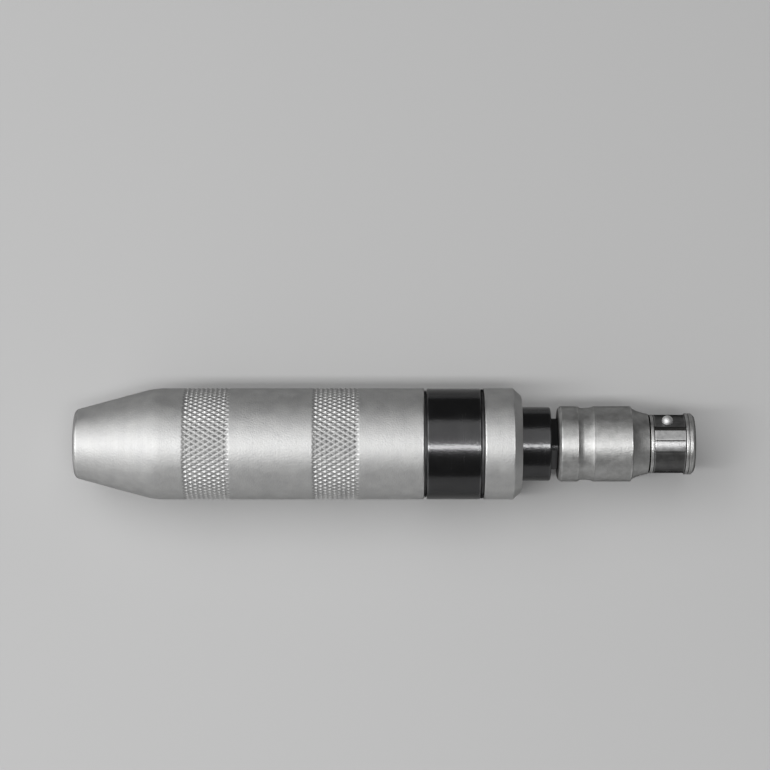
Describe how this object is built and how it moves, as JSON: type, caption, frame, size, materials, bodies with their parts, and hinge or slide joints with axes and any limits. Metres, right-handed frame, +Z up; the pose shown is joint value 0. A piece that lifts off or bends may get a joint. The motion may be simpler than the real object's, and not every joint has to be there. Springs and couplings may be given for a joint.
{
  "type": "hand impact driver",
  "caption": "Hand impact driver: knurled steel handle tapering to its striking face, black direction collar, front ring, square-drive spindle and slide-on hexagon bit holder.",
  "frame": {"origin": "on the surface that the driver lies on, under the middle of its bounding box", "axes": "+X along the tool axis, from the striking face to the bit holder's nose; +Z up, with a flat of the handle's bands facing down"},
  "size_m": [0.2002, 0.0362, 0.0362],
  "materials": {
    "satin_chrome": "satin",
    "blasted_chrome": "satin",
    "black_oxide": "gloss",
    "hardened_steel": "ground",
    "machined_steel": "turned",
    "spring_steel": "satin",
    "polished_spring_steel": "polished",
    "bearing_bronze": "turned",
    "seal_rubber": "matte"
  },
  "bodies": {
    "handle": {"handle_body": "satin_chrome", "spring_seat": "hardened_steel", "main_spring": "spring_steel", "collar_washer": "spring_steel", "collar_seal": "seal_rubber", "ring_washer": "spring_steel", "stop_washer": "hardened_steel", "guide_bush": "bearing_bronze", "snap_ring": "spring_steel", "front_ring": "satin_chrome", "wiper_seal": "seal_rubber"},
    "plunger": {"spring_plunger": "machined_steel", "thrust_ball": "hardened_steel"},
    "spindle": {"spindle": "black_oxide", "cross_pin": "hardened_steel", "drive_ball_spring": "spring_steel"},
    "collar": {"direction_collar": "black_oxide"},
    "holder": {"bit_holder": "blasted_chrome", "retaining_band": "polished_spring_steel"},
    "square_ball": {"drive_ball": "hardened_steel"},
    "bit_pin": {"retaining_pin": "hardened_steel"}
  },
  "joints": [
    {"name": "blow_stroke", "type": "slide", "parent": "handle", "child": "plunger", "axis": [-1, 0, 0], "range_m": [0, 0.008], "stiffness_N_per_m": 5000, "springref_m": -0.005, "deforming": ["main_spring"]},
    {"name": "spindle_turn", "type": "hinge", "parent": "plunger", "child": "spindle", "pos_m": [0.025, 0, 0.01809], "axis": [1, 0, 0], "range_deg": [0, 25]},
    {"name": "direction_collar_turn", "type": "hinge", "parent": "handle", "child": "collar", "pos_m": [0.02195, 0, 0.01809], "axis": [1, 0, 0], "range_deg": [0, 25]},
    {"name": "bit_holder_pull", "type": "slide", "parent": "spindle", "child": "holder", "axis": [1, 0, 0], "range_m": [0, 0.013]},
    {"name": "drive_ball_press", "type": "slide", "parent": "spindle", "child": "square_ball", "axis": [0, 0.9563, -0.2924], "range_m": [0, 0.0006], "stiffness_N_per_m": 900, "springref_m": -0.001, "deforming": ["drive_ball_spring"]},
    {"name": "retaining_pin_lift", "type": "slide", "parent": "holder", "child": "bit_pin", "axis": [0, 0.515, 0.8572], "range_m": [0, 0.0007], "stiffness_N_per_m": 3000, "springref_m": -0.0005, "deforming": ["retaining_band"]}
  ],
  "couplings": [
    {"joint": "spindle_turn", "follows": "blow_stroke", "rad_per_m": 54.5},
    {"joint": "direction_collar_turn", "follows": "blow_stroke", "rad_per_m": 54.5}
  ]
}
